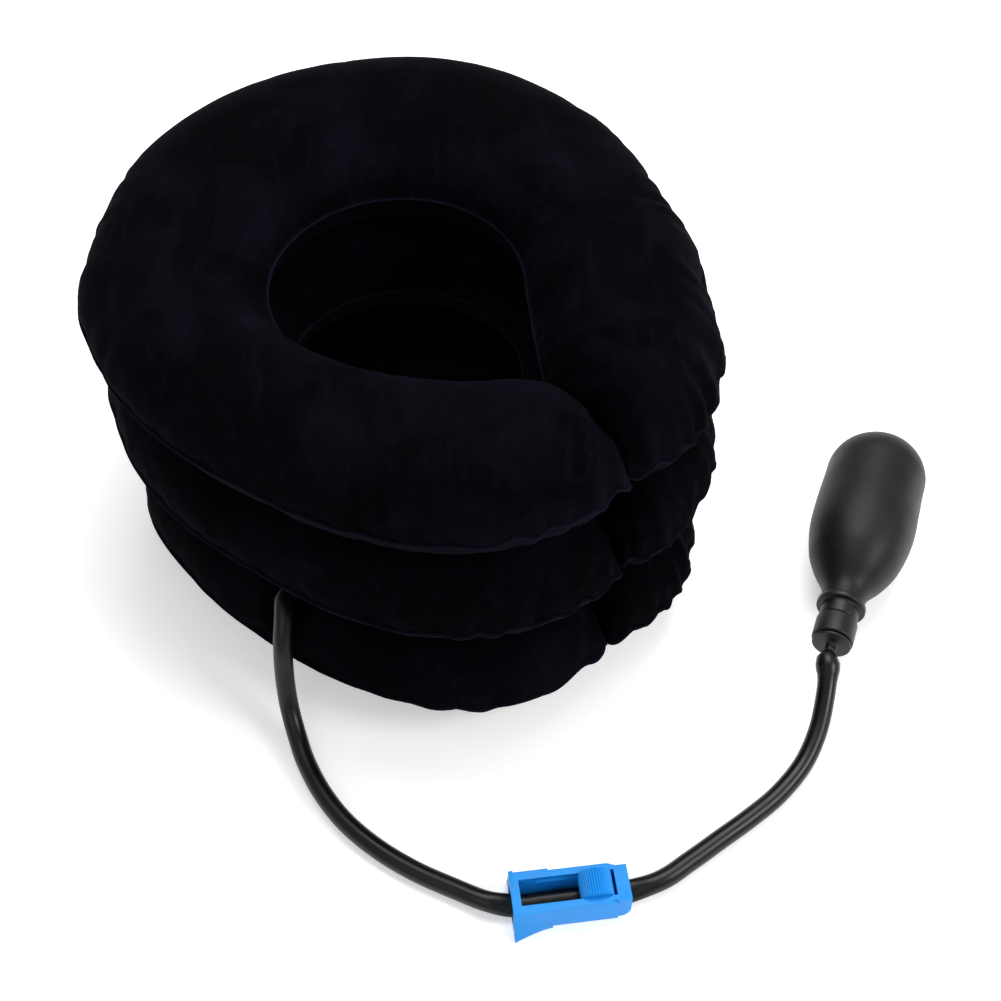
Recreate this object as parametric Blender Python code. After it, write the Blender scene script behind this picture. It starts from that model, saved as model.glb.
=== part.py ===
"""Inflatable three-tier neck collar with its hose, roller clamp and hand bulb.

Units are metres, +Z is up and the collar and the bulb stand on z = 0.
The origin is under the middle of the box round the collar and the bulb.
"""
import math

import bmesh
import bpy
from mathutils import Vector

mm = 0.001

# Collar: three inflated tiers, each two sheets welded round their edge
collarCentre = (-57.0 * mm, 1.4 * mm)
tierCount = 3
tierPitch = 54.0 * mm
sheet = 1.2 * mm
weldWidth = 3.0 * mm
weldGap = 0.3 * mm
tierGap = 0.3 * mm
contactShare = 0.2
closureAngle = 307.0
closureGap = 1.2 * mm
endRounding = 30.0 * mm
tierSizes = [(0.955, -6.5 * mm), (0.985, -2.0 * mm), (1.0, 0.0)]
outerOutline = [(0, 133), (20, 129), (50, 138), (80, 151), (105, 152), (135, 148), (165, 139), (195, 136),
                (225, 133.5), (245, 136), (265, 147), (285, 160), (300, 160), (320, 158), (335, 152), (348, 140)]
neckOutline = [(0, 57), (30, 54), (70, 52.5), (110, 52), (150, 53), (180, 56), (207, 60), (230, 64),
               (256, 66.5), (275, 71), (292, 80), (307, 97), (316, 84), (326, 72), (343, 61)]
acrossSteps = [-1.0, -0.92, -0.66, -contactShare, contactShare, 0.66, 0.92, 1.0]
angleStep = 12.5

# Air ports that join one tier to the next
portAngle = 90.0
portBore = 5.0 * mm
portTube = 8.0 * mm
portFlange = 12.0 * mm
portFlangeThickness = 1.2 * mm
fitGap = 0.3 * mm

# Hose and its inlet in the crease under the middle tier
inletAngle = 248.5
hoseDiameter = 8.4 * mm
inletStart = 115.0 * mm
inletEnd = 126.5 * mm
inletBoss = 6.0 * mm
inletBossRadiusAt = 119.0 * mm
inletBossRise = 13.0 * mm
creaseClearance = 1.0 * mm
creaseReliefWidth = 17.0 * mm

# Roller clamp on the hose
clampCentre = (74.0 * mm, -234.4 * mm)
clampAngle = 7.25
clampLength = 48.0 * mm
clampWidth = 15.0 * mm
clampHeight = 16.5 * mm
clampWall = 2.0 * mm
clampFloor = 1.2 * mm
clampFrame = 3.6 * mm
clampBlock = 5.6 * mm
clampStepLength = 16.0 * mm
clampStep = 0.7 * mm
mouthLength = 11.0 * mm
mouthFlare = 4.0 * mm
rollerRadius = 6.9 * mm
rollerWidth = 10.0 * mm
rollerTeeth = 24
rollerToothDepth = 0.45 * mm
rollerHubRadius = 5.2 * mm
rollerHubWidth = 0.3 * mm
axleRadius = 1.5 * mm
axleGrooveDepth = 1.2 * mm
runningGap = 0.3 * mm
rollerTravel = 22.0 * mm
rollerEndClearance = 1.0 * mm
squeezedShare = 0.62
squeezeRun = 10.0 * mm

# Bulb and its release valve, turned about one level axis
bulbNeck = (202.0 * mm, -101.0 * mm)
bulbAngle = 69.5
bulbRadius = 24.4 * mm
bulbLength = 104.0 * mm
bulbNeckRadius = 9.6 * mm
bulbSwell = [(0.07, 0.05), (0.125, 0.18), (0.19, 0.40), (0.265, 0.61), (0.35, 0.78), (0.50, 0.945),
             (0.66, 1.0), (0.83, 1.0), (1.0, 0.975)]
bulbWall = 2.2 * mm
bulbBore = 6.6 * mm
intakeBore = 3.0 * mm
lipRadius = 11.4 * mm
lipThickness = 3.0 * mm
collarRadius = 9.0 * mm
collarLength = 7.0 * mm
ringRadius = 9.8 * mm
ringLength = 11.6 * mm
ringGrooves = 24
ringGrooveDepth = 0.35 * mm
sleeveRadius = 6.8 * mm
valveBore = 2.6 * mm
valveBallRadius = 2.1 * mm
valveChamberRadius = 2.9 * mm
valveBallTravel = 1.6 * mm
barbDiscRadius = 9.1 * mm
barbDiscThickness = 1.4 * mm
barbRadius = 2.3 * mm
barbLength = 4.6 * mm

# Hose route after the inlet, measured from the collar's middle: the run to
# the clamp, then the run from the clamp to the bulb
routeToClamp = [(-47.0, -127.0, 51.5), (-46.8, -135.5, 42.5), (-46.9, -141.5, 28.0), (-47.0, -147.5, 14.5),
                (-44.4, -157.5, 6.4), (-40.0, -170.5, 4.5), (-31.0, -186.0, 4.4), (-19.5, -199.8, 4.4),
                (-5.5, -211.8, 4.4), (10.5, -221.8, 4.4), (28.0, -230.0, 4.6), (41.0, -235.4, 5.0)]
routeToBulb = [(111.5, -226.4, 5.0), (124.5, -217.6, 4.5), (138.0, -207.8, 4.4), (151.5, -198.0, 4.4),
               (164.8, -187.2, 4.8), (176.8, -174.0, 7.0), (184.4, -160.5, 11.5), (188.4, -148.0, 17.0),
               (190.6, -137.5, 21.8)]
hoseSpacing = 13.0 * mm
endRun = 3.0 * mm


def clearScene():
    for obj in list(bpy.data.objects):
        bpy.data.objects.remove(obj, do_unlink=True)


def addMaterial(name, colour, roughness, metallic=0.0):
    material = bpy.data.materials.new(name)
    material.use_nodes = True
    shader = material.node_tree.nodes["Principled BSDF"]
    shader.inputs["Base Color"].default_value = (*colour, 1.0)
    shader.inputs["Roughness"].default_value = roughness
    shader.inputs["Metallic"].default_value = metallic
    return material


def addEmpty(name, location, rotation=(0.0, 0.0, 0.0)):
    empty = bpy.data.objects.new(name, None)
    empty.location = location
    empty.rotation_euler = [math.radians(angle) for angle in rotation]
    bpy.context.scene.collection.objects.link(empty)
    return empty


def addPiece(name, bm, material, parent=None, location=(0.0, 0.0, 0.0), smoothAngle=None):
    bmesh.ops.recalc_face_normals(bm, faces=bm.faces)
    mesh = bpy.data.meshes.new(name)
    bm.to_mesh(mesh)
    bm.free()
    if smoothAngle is not None:
        mesh.shade_smooth()
        mesh.set_sharp_from_angle(angle=math.radians(smoothAngle))
    mesh.materials.append(material)
    piece = bpy.data.objects.new(name, mesh)
    piece.parent = parent
    piece.location = location
    bpy.context.scene.collection.objects.link(piece)
    return piece


def hideCutter(cutter):
    cutter.hide_render = True
    cutter.display_type = "WIRE"


def cutWith(piece, cutter, operation="DIFFERENCE"):
    hideCutter(cutter)
    modifier = piece.modifiers.new(cutter.name, "BOOLEAN")
    modifier.operation = operation
    modifier.solver = "EXACT"
    modifier.object = cutter


def turned(profile, segments, radiusAt=None):
    """A solid turned about Z from a closed profile of (radius, height) points."""
    bm = bmesh.new()
    rings = []
    for radius, height in profile:
        if radius == 0.0:
            rings.append([bm.verts.new((0.0, 0.0, height))])
            continue
        ring = []
        for step in range(segments):
            angle = 2.0 * math.pi * step / segments
            reach = radiusAt(radius, step) if radiusAt else radius
            ring.append(bm.verts.new((reach * math.cos(angle), reach * math.sin(angle), height)))
        rings.append(ring)
    for first, second in zip(rings, rings[1:] + rings[:1]):
        if len(first) == 1 and len(second) == 1:
            continue
        for step in range(segments):
            after = (step + 1) % segments
            if len(first) == 1:
                bm.faces.new((first[0], second[step], second[after]))
            elif len(second) == 1:
                bm.faces.new((first[step], second[0], first[after]))
            else:
                bm.faces.new((first[step], second[step], second[after], first[after]))
    return bm


def block(low, high):
    bm = bmesh.new()
    bmesh.ops.create_cube(bm, size=1.0)
    for vert in bm.verts:
        for axis in range(3):
            vert.co[axis] = low[axis] if vert.co[axis] < 0.0 else high[axis]
    return bm


def prism(outline, low, high, axis=1):
    """An outline in the other two axes, extruded along one axis."""
    bm = bmesh.new()
    ends = []
    for level in (low, high):
        ring = []
        for first, second in outline:
            spot = [first, second]
            spot.insert(axis, level)
            ring.append(bm.verts.new(spot))
        ends.append(ring)
    bm.faces.new(ends[0])
    bm.faces.new(ends[1])
    for step in range(len(outline)):
        after = (step + 1) % len(outline)
        bm.faces.new((ends[0][step], ends[0][after], ends[1][after], ends[1][step]))
    return bm


def circleOutline(radius, segments, centre=(0.0, 0.0), start=0.0):
    turn = 2.0 * math.pi / segments
    return [(centre[0] + radius * math.cos(start + turn * k), centre[1] + radius * math.sin(start + turn * k))
            for k in range(segments)]


def closedCurve(knots, angle):
    """Reads a smooth closed outline, given as (degrees, millimetres), at an angle."""
    angle = angle % 360.0
    count = len(knots)
    index = max(k for k in range(count) if knots[k][0] <= angle)

    def knot(k):
        turns, place = divmod(k, count)
        return knots[place][0] + 360.0 * turns, knots[place][1]

    (a0, r0), (a1, r1), (a2, r2), (a3, r3) = (knot(index + step) for step in (-1, 0, 1, 2))
    span = a2 - a1
    share = (angle - a1) / span
    slope1 = (r2 - r0) / (a2 - a0) * span
    slope2 = (r3 - r1) / (a3 - a1) * span
    cube, square = share ** 3, share ** 2
    blend = (2 * cube - 3 * square + 1) * r1 + (cube - 2 * square + share) * slope1
    blend += (3 * square - 2 * cube) * r2 + (cube - square) * slope2
    return blend * mm


def smoothRoute(points, spacing):
    """Evenly spaced points along a smooth curve through the route's own points."""
    dense = []
    last = len(points) - 1
    for k in range(last):
        p0, p1 = points[max(k - 1, 0)], points[k]
        p2, p3 = points[k + 1], points[min(k + 2, last)]
        for step in range(24):
            share = step / 24.0
            cube, square = share ** 3, share ** 2
            dense.append(0.5 * ((2.0 * p1) + (p2 - p0) * share + (2.0 * p0 - 5.0 * p1 + 4.0 * p2 - p3) * square
                                + (3.0 * p1 - p0 - 3.0 * p2 + p3) * cube))
    dense.append(points[last])
    travelled = [0.0]
    for first, second in zip(dense, dense[1:]):
        travelled.append(travelled[-1] + (second - first).length)
    count = max(2, round(travelled[-1] / spacing))
    spots = []
    place = 0
    for step in range(count + 1):
        target = travelled[-1] * step / count
        while place < len(dense) - 2 and travelled[place + 1] < target:
            place += 1
        reach = (target - travelled[place]) / (travelled[place + 1] - travelled[place])
        spots.append(dense[place].lerp(dense[place + 1], min(reach, 1.0)))
    return spots


def onCollar(radius, angle, height, forward=0.0):
    turn = math.radians(angle)
    return Vector((collarCentre[0] + radius * math.cos(turn),
                   collarCentre[1] + radius * math.sin(turn) + forward, height))


def rowPlaces():
    """Rows along a tier as (angle, share of the end rounding already passed)."""
    middleRadius = 130.0 * mm
    degreesPerMetre = math.degrees(1.0 / middleRadius)
    start = closureAngle - 360.0 + 0.5 * closureGap * degreesPerMetre
    end = closureAngle - 0.5 * closureGap * degreesPerMetre
    weld = weldWidth * degreesPerMetre
    rounding = endRounding * degreesPerMetre
    shares = [0.0, 0.09, 0.33, 1.0]
    rows = [(start, None)] + [(start + weld + share * rounding, share) for share in shares]
    closing = [(end - weld - share * rounding, share) for share in reversed(shares)] + [(end, None)]
    inlet = inletAngle if inletAngle < closing[0][0] else inletAngle - 360.0
    spans = [(rows[-1][0], inlet), (inlet, closing[0][0])]
    for low, high in spans:
        count = max(2, round((high - low) / angleStep))
        steps = range(1, count + 1) if low != inlet else range(1, count)
        rows += [(low + (high - low) * step / count, 1.0) for step in steps]
    return rows + closing


def domeShare(across):
    """Height of the inflated sheet across the band, 1 where it lies on its neighbour."""
    beyond = max(0.0, abs(across) - contactShare) / (1.0 - contactShare)
    return math.sqrt(max(0.0, 1.0 - beyond * beyond))


def bandEdges(index, angle, share):
    """Inner and outer weld lines at an angle, drawn in where the band's end is rounded."""
    inner = closedCurve(neckOutline, angle) * tierSizes[index][0]
    outer = closedCurve(outerOutline, angle) * tierSizes[index][0]
    middle = 0.5 * (inner + outer)
    swell = math.sqrt(max(0.0, 1.0 - (1.0 - share) ** 2))
    inner = middle + (inner - middle) * (0.94 + 0.06 * swell)
    outer = middle + (outer - middle) * (0.70 + 0.30 * swell)
    return inner, outer, swell


def addPanel(name, index, side, reach, relief, material):
    """One sheet of a tier, domed away from its weld line (side is +1 up or -1 down)."""
    bm = bmesh.new()
    seamHeight = (index + 0.5) * tierPitch
    forward = tierSizes[index][1]
    foot = 0.5 * weldGap + sheet
    grid = []
    for angle, share in rowPlaces():
        inner, outer, swell = bandEdges(index, angle, share if share is not None else 0.0)
        fromInlet = math.radians(angle - (inletAngle if angle > inletAngle - 180.0 else inletAngle - 360.0))
        row = [bm.verts.new(onCollar(inner - weldWidth, angle, seamHeight + side * foot, forward))]
        for across in acrossSteps:
            radius = 0.5 * (inner + outer) + 0.5 * (outer - inner) * across
            lift = 0.0 if share is None else (reach - foot) * domeShare(across) * swell
            if relief and lift > 0.0:
                near = math.exp(-(fromInlet * radius / creaseReliefWidth) ** 2)
                ramp = min(1.0, max(0.0, (across + 0.25) / 0.45))
                lift -= (0.5 * hoseDiameter + creaseClearance) * near * ramp * domeShare(across)
            row.append(bm.verts.new(onCollar(radius, angle, seamHeight + side * (foot + lift), forward)))
        row.append(bm.verts.new(onCollar(outer + weldWidth, angle, seamHeight + side * foot, forward)))
        grid.append(row)
    for first, second in zip(grid, grid[1:]):
        for k in range(len(first) - 1):
            corners = (first[k], first[k + 1], second[k + 1], second[k])
            bm.faces.new(corners if side > 0 else corners[::-1])
    mesh = bpy.data.meshes.new(name)
    bm.to_mesh(mesh)
    bm.free()
    mesh.shade_smooth()
    mesh.materials.append(material)
    panel = bpy.data.objects.new(name, mesh)
    bpy.context.scene.collection.objects.link(panel)
    shell = panel.modifiers.new("sheet", "SOLIDIFY")
    shell.thickness = sheet
    shell.offset = -1.0
    return panel


def addTiers(velvet):
    panels = {}
    names = ["bottom", "middle", "top"]
    for index in range(tierCount):
        free = 0.5 * tierPitch
        pressed = free - 0.5 * tierGap
        lowerReach = free if index == 0 else pressed
        upperReach = free if index == tierCount - 1 else pressed
        for side, reach, part in ((-1, lowerReach, "lower"), (1, upperReach, "upper")):
            relief = (index == 0 and side > 0) or (index == 1 and side < 0)
            name = f"{names[index]}_{part}_panel"
            panels[name] = addPanel(name, index, side, reach, relief, velvet)
    return panels


def addAirPorts(panels, plastic):
    """A short flanged tube joins each pair of tiers through a hole in both sheets."""
    turn = math.radians(portAngle)
    middles = []
    for index, (size, forward) in enumerate(tierSizes):
        inner, outer, _ = bandEdges(index, portAngle, 1.0)
        middles.append(0.5 * (inner + outer) + forward * math.sin(turn))
    inside = 0.5 * tierGap + sheet + fitGap
    top = inside + portFlangeThickness
    bore, tube, flange = 0.5 * portBore, 0.5 * portTube, 0.5 * portFlange
    profile = [(bore, -top), (flange, -top), (flange, -inside), (tube, -inside),
               (tube, inside), (flange, inside), (flange, top), (bore, top)]
    for level, (below, above) in enumerate((("bottom", "middle"), ("middle", "top"))):
        radius = 0.5 * (middles[level] + middles[level + 1])
        spot = onCollar(radius, portAngle, (level + 1) * tierPitch)
        addPiece(f"{below}_{above}_air_port", turned(profile, 20), plastic, None, spot, 40)
        cutProfile = [(0.0, -3.0 * mm), (tube + fitGap, -3.0 * mm), (tube + fitGap, 3.0 * mm), (0.0, 3.0 * mm)]
        cutter = addPiece(f"{below}_port_hole", turned(cutProfile, 20), plastic, None, spot)
        cutWith(panels[f"{below}_upper_panel"], cutter)
        cutWith(panels[f"{above}_lower_panel"], cutter)


def addInlet(panels, plastic):
    """Elbow in the crease: a stem along the crease and a boss up into the middle tier."""
    empty = addEmpty("inlet_axis", onCollar(0.0, inletAngle, tierPitch), (0.0, 0.0, inletAngle))
    radius = 0.5 * hoseDiameter
    outline = circleOutline(radius, 16, start=math.pi / 16)
    stem = addPiece("hose_inlet", prism(outline, inletStart, inletEnd, axis=0), plastic, empty)
    stem.data.shade_smooth()
    stem.data.set_sharp_from_angle(angle=math.radians(40))
    bossProfile = [(0.0, 0.0), (0.5 * inletBoss, 0.0), (0.5 * inletBoss, inletBossRise), (0.0, inletBossRise)]
    spot = (inletBossRadiusAt, 0.0, 0.0)
    boss = addPiece("inlet_boss", turned(bossProfile, 16), plastic, empty, spot)
    cutWith(stem, boss, "UNION")
    holeRadius = 0.5 * inletBoss + fitGap
    holeProfile = [(0.0, 0.0), (holeRadius, 0.0), (holeRadius, inletBossRise), (0.0, inletBossRise)]
    hole = addPiece("inlet_hole", turned(holeProfile, 16), plastic, empty, spot)
    cutWith(panels["middle_lower_panel"], hole)


def clampSpot(along, height):
    turn = math.radians(clampAngle)
    return Vector((collarCentre[0] + clampCentre[0] + along * math.cos(turn),
                   collarCentre[1] + clampCentre[1] + along * math.sin(turn), height))


def bulbSpot(along):
    turn = math.radians(bulbAngle)
    return Vector((collarCentre[0] + bulbNeck[0] + along * math.cos(turn),
                   collarCentre[1] + bulbNeck[1] + along * math.sin(turn), bulbRadius))


def barbTip():
    return -(lipThickness + collarLength + fitGap + ringLength + fitGap + barbDiscThickness + barbLength)


def addHose(rubber):
    radius = 0.5 * hoseDiameter
    squeezed = radius * squeezedShare
    runHeight = clampFloor + fitGap + squeezed
    offset = Vector((collarCentre[0], collarCentre[1], 0.0))
    start = onCollar(inletEnd + fitGap, inletAngle, tierPitch)
    points = [onCollar(inletEnd + fitGap + endRun, inletAngle, tierPitch)]
    points += [offset + Vector(spot) * mm for spot in routeToClamp]
    points += [clampSpot(along, runHeight) for along in (-0.42 * clampLength, -0.2 * clampLength,
                                                        0.2 * clampLength, 0.42 * clampLength)]
    points += [offset + Vector(spot) * mm for spot in routeToBulb]
    points.append(bulbSpot(barbTip() - fitGap - endRun))
    spots = [start] + smoothRoute(points, hoseSpacing) + [bulbSpot(barbTip() - fitGap)]
    curve = bpy.data.curves.new("hose", "CURVE")
    curve.dimensions = "3D"
    curve.bevel_depth = radius
    curve.bevel_resolution = 2
    curve.render_resolution_u = 0
    curve.use_fill_caps = True
    spline = curve.splines.new("POLY")
    spline.points.add(len(spots) - 1)
    middle = clampSpot(0.0, runHeight)
    for point, spot in zip(spline.points, spots):
        point.co = (*spot, 1.0)
        away = (spot - middle).length
        share = min(1.0, max(0.0, (away - 0.5 * clampLength - mm) / squeezeRun))
        point.radius = squeezedShare + (1.0 - squeezedShare) * share
    curve.materials.append(rubber)
    hose = bpy.data.objects.new("hose", curve)
    bpy.context.scene.collection.objects.link(hose)


def addClamp(blue):
    """Open-topped channel for the hose with a grooved roller that travels along it."""
    squeezed = 0.5 * hoseDiameter * squeezedShare
    rollerHeight = clampFloor + fitGap + 2.0 * squeezed + fitGap + rollerRadius
    turn = (0.0, 0.0, clampAngle)
    empty = addEmpty("clamp_axis", clampSpot(0.0, 0.0), turn)
    half, side = 0.5 * clampLength, 0.5 * clampWidth
    inner = side - clampWall
    corner = 5.0 * mm
    bend = [(half - corner + corner * math.sin(math.radians(a)), corner - corner * math.cos(math.radians(a)))
            for a in (0, 22.5, 45, 67.5, 90)]
    outline = [(-half, 0.0)] + bend + [(half, clampHeight), (-half, clampHeight)]
    body = addPiece("clamp_body", prism(outline, -side, side), blue, empty)
    stepFrom = -half + clampStepLength
    pad = addPiece("clamp_step", block((-half, -side - clampStep, 0.0), (stepFrom, side + clampStep, clampHeight)),
                   blue, empty)
    cutWith(body, pad, "UNION")
    flare = side + clampStep + mouthFlare
    mouth = [(-half, -side), (-half + mouthLength, -side), (-half + mouthLength, side), (-half, side),
             (-half, flare), (-half, -flare)]
    mouthOutline = [(-half + mouthLength, -side), (-half + mouthLength, side),
                    (-half + 0.35 * mouthLength, side + clampStep + 0.35 * mouthFlare), (-half, flare),
                    (-half, -flare), (-half + 0.35 * mouthLength, -side - clampStep - 0.35 * mouthFlare)]
    skirt = addPiece("clamp_mouth", prism(mouthOutline, 0.0, 0.3 * clampHeight, axis=2), blue, empty)
    cutWith(body, skirt, "UNION")
    windowLow, windowHigh = -half + clampFrame, half - clampBlock
    window = addPiece("clamp_window", block((windowLow, -inner, clampFloor), (windowHigh, inner, clampHeight + mm)),
                      blue, empty)
    cutWith(body, window)
    boreRadius = 0.5 * hoseDiameter + 2.0 * fitGap
    boreHeight = clampFloor + fitGap + 0.5 * hoseDiameter
    tunnel = [(-boreRadius, clampFloor)] + [
        (boreRadius * math.cos(math.radians(a)), boreHeight + boreRadius * math.sin(math.radians(a)))
        for a in range(180, -1, -20)] + [(boreRadius, clampFloor)]
    bore = addPiece("clamp_bore", prism(tunnel, -half - mm, half + mm, axis=0), blue, empty)
    cutWith(body, bore)
    grooveHalf = axleRadius + runningGap
    grooveReach = inner + axleGrooveDepth
    rest = windowHigh - rollerEndClearance - rollerRadius
    grooveLow = rest - rollerTravel - grooveHalf
    groove = addPiece("clamp_groove", block((grooveLow, -grooveReach, rollerHeight - grooveHalf),
                                            (rest + grooveHalf, grooveReach, rollerHeight + grooveHalf)), blue, empty)
    cutWith(body, groove)

    spot = addEmpty("roller_axis", (rest, 0.0, rollerHeight), (90.0, 0.0, 0.0))
    spot.parent = empty
    axleHalf = grooveReach - runningGap
    axleProfile = [(0.0, -axleHalf), (axleRadius, -axleHalf), (axleRadius, axleHalf), (0.0, axleHalf)]
    addPiece("roller_axle", turned(axleProfile, 20), blue, spot, smoothAngle=40)
    hole = axleRadius + runningGap
    face = 0.5 * rollerWidth
    hub = face + rollerHubWidth
    wheelProfile = [(hole, -hub), (rollerHubRadius, -hub), (rollerHubRadius, -face), (rollerRadius, -face),
                    (rollerRadius, face), (rollerHubRadius, face), (rollerHubRadius, hub), (hole, hub)]

    def ribbed(radius, step):
        return radius - rollerToothDepth if radius == rollerRadius and step % 2 else radius

    addPiece("roller_wheel", turned(wheelProfile, 2 * rollerTeeth, ribbed), blue, spot)


def bulbStations(straight, wall):
    """The bulb's side from the neck to its round end, as (radius, distance) less a wall."""
    stations = []
    for along, swell in bulbSwell:
        radius = bulbNeckRadius + (bulbRadius - bulbNeckRadius) * swell
        stations.append((radius - wall, straight * along))
    return stations


def addBulb(rubber, plastic):
    empty = addEmpty("bulb_axis", bulbSpot(0.0), (0.0, 90.0, bulbAngle))
    straight = bulbLength - bulbRadius
    outer = [(bulbNeckRadius, 0.0)] + bulbStations(straight, 0.0)
    endRadius = outer[-1][0]
    slit = math.asin(intakeBore / endRadius)
    for k in range(1, 8):
        angle = 0.5 * math.pi + (slit - 0.5 * math.pi) * k / 7.0
        outer.append((endRadius * math.sin(angle), straight + bulbRadius * math.cos(angle)))
    inner = [(bulbBore, 0.0), (bulbBore, 0.05 * straight)] + bulbStations(straight, bulbWall)
    for k in range(1, 8):
        angle = 0.5 * math.pi + (slit - 0.5 * math.pi) * k / 7.0
        inner.append(((endRadius - bulbWall) * math.sin(angle) if k < 7 else intakeBore,
                      straight + (bulbRadius - bulbWall) * math.cos(angle)))
    addPiece("bulb", turned(outer + inner[::-1], 24), rubber, empty, smoothAngle=50)

    tip = straight + bulbRadius * math.cos(slit)
    stem = intakeBore - fitGap
    seat = 1.2 * mm
    flange = stem + 2.0 * mm
    back = tip - bulbWall - 1.8 * mm
    plugProfile = [(seat, back), (stem, back), (stem, tip + fitGap), (flange, tip + 1.0 * mm),
                   (flange - 0.6 * mm, tip + 1.6 * mm), (seat, tip + 1.6 * mm)]
    addPiece("intake_valve", turned(plugProfile, 18), plastic, empty, smoothAngle=40)
    flapTop = back - fitGap
    flapProfile = [(0.0, flapTop - 0.8 * mm), (stem, flapTop - 0.8 * mm), (stem, flapTop), (0.0, flapTop)]
    addPiece("intake_flap", turned(flapProfile, 18), rubber, empty, smoothAngle=40)

    stemRadius = bulbBore - fitGap
    lipFace = -fitGap
    lipEnd = lipFace - lipThickness
    collarEnd = lipEnd - collarLength
    sleeveEnd = collarEnd - ringLength - fitGap
    chamberEnd = collarEnd + 2.0 * mm
    chamberStart = lipEnd - 0.5 * mm
    bodyProfile = [(valveBore, 6.0 * mm), (stemRadius, 6.0 * mm), (stemRadius, lipFace), (lipRadius, lipFace),
                   (lipRadius, lipEnd), (collarRadius, lipEnd), (collarRadius, collarEnd),
                   (sleeveRadius, collarEnd), (sleeveRadius, sleeveEnd), (valveChamberRadius, sleeveEnd),
                   (valveChamberRadius, chamberStart), (valveBore - 1.0 * mm, chamberStart + 1.0 * mm),
                   (valveBore - 1.0 * mm, 2.0 * mm)]
    addPiece("valve_body", turned(bodyProfile, 24), plastic, empty, smoothAngle=40)

    ballTop = chamberStart - fitGap
    ballCentre = ballTop - valveBallRadius
    rings = 8
    ballProfile = [(0.0, ballCentre - valveBallRadius)]
    ballProfile += [(valveBallRadius * math.sin(math.pi * k / rings),
                     ballCentre - valveBallRadius * math.cos(math.pi * k / rings)) for k in range(1, rings)]
    ballProfile += [(0.0, ballCentre + valveBallRadius)]
    addPiece("valve_ball", turned(ballProfile, 14), rubber, empty, smoothAngle=60)

    ringTop = collarEnd - fitGap
    ringEnd = ringTop - ringLength + fitGap
    ringInner = sleeveRadius + runningGap
    chamfer = 0.7 * mm
    ringProfile = [(ringInner, ringTop), (ringRadius - chamfer, ringTop), (ringRadius, ringTop - chamfer),
                   (ringRadius, ringEnd + chamfer), (ringRadius - chamfer, ringEnd), (ringInner, ringEnd)]

    def knurled(radius, step):
        return radius - ringGrooveDepth if radius == ringRadius and step % 2 else radius

    addPiece("release_ring", turned(ringProfile, 2 * ringGrooves, knurled), plastic, empty)

    discTop = sleeveEnd - fitGap
    discEnd = discTop - barbDiscThickness
    tipEnd = barbTip()
    spigot = valveChamberRadius - fitGap
    spigotTop = ballCentre - valveBallRadius - valveBallTravel - fitGap
    barbProfile = [(0.0, spigotTop), (spigot, spigotTop), (spigot, discTop), (barbDiscRadius, discTop),
                   (barbDiscRadius, discEnd), (barbRadius, discEnd), (barbRadius, tipEnd), (0.0, tipEnd)]
    addPiece("hose_barb", turned(barbProfile, 24), plastic, empty, smoothAngle=40)


def main():
    clearScene()
    velvet = addMaterial("flocked_fabric", (0.0035, 0.0035, 0.0060), 0.92)
    rubber = addMaterial("black_rubber", (0.022, 0.022, 0.023), 0.42)
    hoseRubber = addMaterial("hose_rubber", (0.016, 0.016, 0.017), 0.30)
    plastic = addMaterial("black_plastic", (0.014, 0.014, 0.015), 0.45)
    clear = addMaterial("port_plastic", (0.10, 0.10, 0.12), 0.40)
    blue = addMaterial("blue_plastic", (0.018, 0.235, 0.640), 0.38)
    panels = addTiers(velvet)
    addAirPorts(panels, clear)
    addInlet(panels, clear)
    addHose(hoseRubber)
    addClamp(blue)
    addBulb(rubber, plastic)


main()
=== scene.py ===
import math

import bmesh
import bpy
import numpy as np
from mathutils import Matrix, Vector, noise


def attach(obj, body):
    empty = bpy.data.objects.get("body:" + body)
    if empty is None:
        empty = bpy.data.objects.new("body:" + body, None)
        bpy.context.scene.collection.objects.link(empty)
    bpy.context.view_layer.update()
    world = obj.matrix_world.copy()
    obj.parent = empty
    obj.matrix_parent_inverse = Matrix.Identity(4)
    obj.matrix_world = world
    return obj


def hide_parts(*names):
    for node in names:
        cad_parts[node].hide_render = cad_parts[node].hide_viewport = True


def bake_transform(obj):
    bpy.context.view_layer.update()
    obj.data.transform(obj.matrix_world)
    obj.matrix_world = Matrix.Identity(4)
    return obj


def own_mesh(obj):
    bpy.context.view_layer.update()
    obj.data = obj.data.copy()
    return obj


mm = 0.001

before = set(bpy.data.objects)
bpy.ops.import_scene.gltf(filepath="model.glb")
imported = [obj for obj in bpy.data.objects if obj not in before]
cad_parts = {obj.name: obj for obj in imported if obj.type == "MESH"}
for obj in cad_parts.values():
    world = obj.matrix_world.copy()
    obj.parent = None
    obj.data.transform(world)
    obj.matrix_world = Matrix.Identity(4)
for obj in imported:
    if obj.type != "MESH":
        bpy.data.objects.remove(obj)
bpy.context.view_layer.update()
scene = bpy.context.scene
print("frame loaded:", len(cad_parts), "nodes")

# where the collar's middle stands, and the places that the other pieces line up with
collarCentre = Vector((-57.0 * mm, 1.4 * mm, 0.0))
place = {
    "inletAngle": 248.5,
    "inletEnd": 126.5 * mm,
    "tierPitch": 54.0 * mm,
    "fitGap": 0.3 * mm,
    "clampCentre": collarCentre + Vector((74.0, -234.4, 0.0)) * mm,
    "clampAngle": 7.25,
    "bulbNeck": collarCentre + Vector((202.0, -101.0, 24.4)) * mm,
    "bulbAngle": 69.5,
}


def onCollar(radius, angle, height):
    turn = math.radians(angle)
    return collarCentre + Vector((radius * math.cos(turn), radius * math.sin(turn), height))


def alongClamp(along, height):
    turn = math.radians(place["clampAngle"])
    return place["clampCentre"] + Vector((along * math.cos(turn), along * math.sin(turn), height))


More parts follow.
